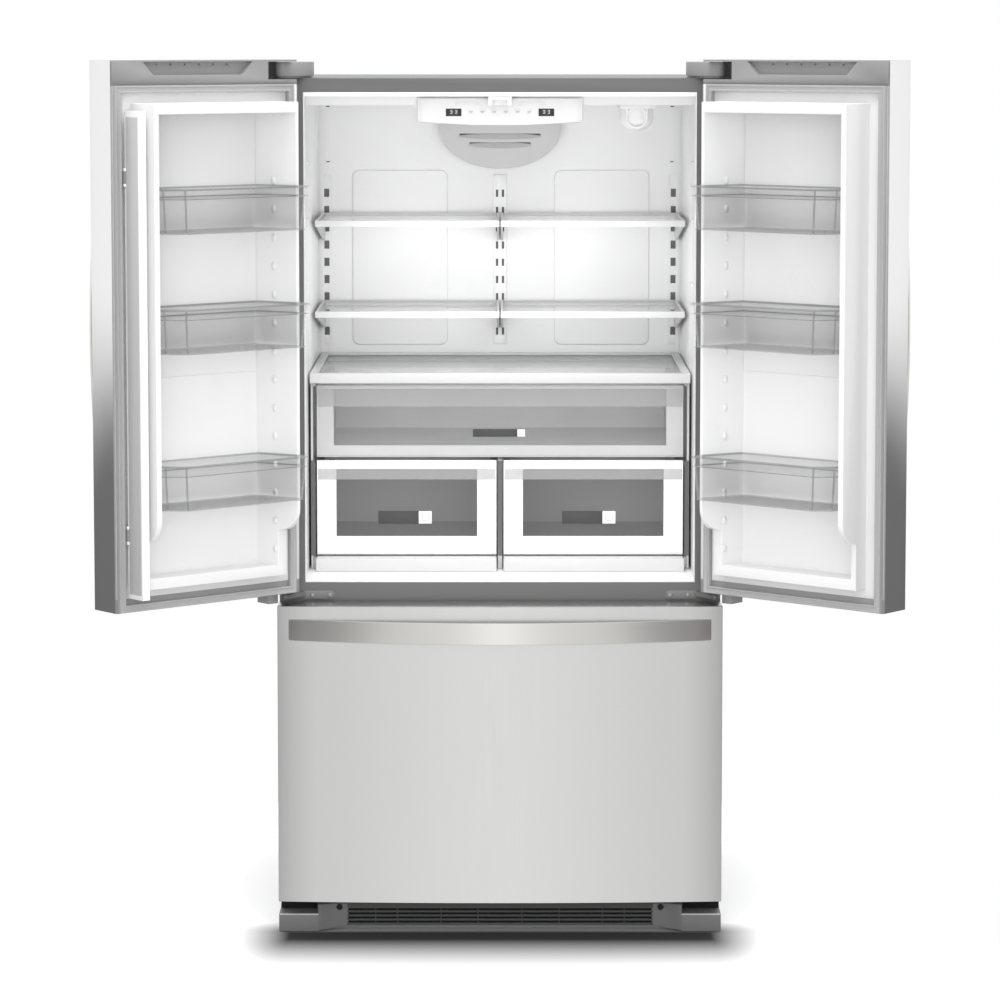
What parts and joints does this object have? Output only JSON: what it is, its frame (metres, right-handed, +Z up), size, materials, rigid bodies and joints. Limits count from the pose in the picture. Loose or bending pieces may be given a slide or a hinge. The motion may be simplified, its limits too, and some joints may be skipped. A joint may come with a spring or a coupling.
{
  "type": "french door refrigerator",
  "caption": "Free-standing refrigerator with side-by-side doors, shown open, over a pull-out freezer drawer, with glass shelves, clear drawers and door bins",
  "frame": {"origin": "bottom centre of the bounding box at rest, with both doors open 140 degrees, on the floor", "axes": "+Z up, +X to the right as seen from the front, +Y to the back; the front faces -Y"},
  "size_m": [1.6264, 1.1294, 1.781],
  "materials": {
    "case_paint": "satin",
    "frame_paint": "satin",
    "stainless": "satin",
    "zinc_steel": "satin",
    "foam": "matte",
    "liner_white": "gloss",
    "clear_plastic": "gloss",
    "shelf_glass": "gloss",
    "cap_grey": "satin",
    "seal_grey": "matte",
    "grille_grey": "satin",
    "black_enamel": "satin",
    "copper_tube": "satin",
    "coil_aluminium": "satin",
    "fan_plastic": "satin",
    "display_black": "gloss",
    "lamp_plastic": "gloss"
  },
  "bodies": {
    "cabinet": {"outer_case": "case_paint", "rear_panel": "zinc_steel", "front_frame": "frame_paint", "cabinet_foam": "foam", "fresh_liner": "liner_white", "freezer_liner": "liner_white", "base_tray": "zinc_steel", "toe_grille": "grille_grey", "leveling_legs": "zinc_steel", "machine_cover": "zinc_steel", "compressor": "black_enamel", "condenser_coil": "copper_tube", "evaporator_coil": "coil_aluminium", "evaporator_cover": "liner_white", "air_tower": "liner_white", "control_housing": "liner_white", "control_displays": "display_black", "lamp_lens": "lamp_plastic", "filter_housing": "liner_white", "mullion_guide": "liner_white", "shelf_ladders": "liner_white", "shelf_frames": "liner_white", "shelf_glass": "shelf_glass", "crisper_frame": "liner_white", "hinge_brackets": "frame_paint", "hinge_screws": "zinc_steel", "hinge_covers": "cap_grey", "freezer_rails": "zinc_steel", "fan_motors": "zinc_steel"},
    "front_rollers": {"front_rollers": "fan_plastic"},
    "rear_rollers": {"rear_rollers": "fan_plastic"},
    "condenser_fan": {"condenser_fan": "fan_plastic"},
    "evaporator_fan": {"evaporator_fan": "fan_plastic"},
    "deli_drawer": {"deli_drawer": "clear_plastic"},
    "crisper_left": {"crisper_left": "clear_plastic"},
    "crisper_right": {"crisper_right": "clear_plastic"},
    "freezer_drawer": {"freezer_skin": "stainless", "freezer_foam": "foam", "freezer_door_liner": "liner_white", "freezer_gasket": "seal_grey", "freezer_handle": "stainless", "freezer_runners": "zinc_steel", "freezer_bin": "clear_plastic"},
    "freezer_basket": {"freezer_basket": "liner_white"},
    "door_left": {"door_left_skin": "stainless", "door_left_caps": "cap_grey", "door_left_foam": "foam", "door_left_liner": "liner_white", "door_left_gasket": "seal_grey", "door_left_handle": "stainless", "door_left_bins": "clear_plastic", "mullion_hinges": "cap_grey"},
    "door_right": {"door_right_skin": "stainless", "door_right_caps": "cap_grey", "door_right_foam": "foam", "door_right_liner": "liner_white", "door_right_gasket": "seal_grey", "door_right_handle": "stainless", "door_right_bins": "clear_plastic"},
    "mullion": {"mullion_bar": "liner_white"}
  },
  "joints": [
    {"name": "door_left_swing", "type": "hinge", "parent": "cabinet", "child": "door_left", "pos_m": [-0.4385, -0.22534, 1.24], "axis": [0, 0, -1], "range_deg": [-140, 0]},
    {"name": "door_right_swing", "type": "hinge", "parent": "cabinet", "child": "door_right", "pos_m": [0.4385, -0.22534, 1.24], "axis": [0, 0, 1], "range_deg": [-140, 0]},
    {"name": "mullion_flip", "type": "hinge", "parent": "door_left", "child": "mullion", "pos_m": [-0.72643, -0.52666, 1.207], "axis": [0, 0, 1], "range_deg": [-90, 0]},
    {"name": "freezer_drawer_slide", "type": "slide", "parent": "cabinet", "child": "freezer_drawer", "axis": [0, -1, 0], "range_m": [0, 0.42]},
    {"name": "freezer_basket_slide", "type": "slide", "parent": "cabinet", "child": "freezer_basket", "axis": [0, -1, 0], "range_m": [0, 0.21]},
    {"name": "deli_drawer_slide", "type": "slide", "parent": "cabinet", "child": "deli_drawer", "axis": [0, -1, 0], "range_m": [0, 0.3]},
    {"name": "crisper_left_slide", "type": "slide", "parent": "cabinet", "child": "crisper_left", "axis": [0, -1, 0], "range_m": [0, 0.3]},
    {"name": "crisper_right_slide", "type": "slide", "parent": "cabinet", "child": "crisper_right", "axis": [0, -1, 0], "range_m": [0, 0.3]},
    {"name": "front_rollers_spin", "type": "hinge", "parent": "cabinet", "child": "front_rollers", "pos_m": [0, -0.10034, 0.021], "axis": [1, 0, 0], "continuous": true},
    {"name": "rear_rollers_spin", "type": "hinge", "parent": "cabinet", "child": "rear_rollers", "pos_m": [0, 0.49966, 0.019], "axis": [1, 0, 0], "continuous": true},
    {"name": "condenser_fan_spin", "type": "hinge", "parent": "cabinet", "child": "condenser_fan", "pos_m": [0, 0.46466, 0.15], "axis": [1, 0, 0], "continuous": true},
    {"name": "evaporator_fan_spin", "type": "hinge", "parent": "cabinet", "child": "evaporator_fan", "pos_m": [0, 0.32166, 0.588], "axis": [0, 1, 0], "continuous": true}
  ],
  "couplings": [
    {"joint": "freezer_basket_slide", "follows": "freezer_drawer_slide", "ratio": 0.5}
  ]
}
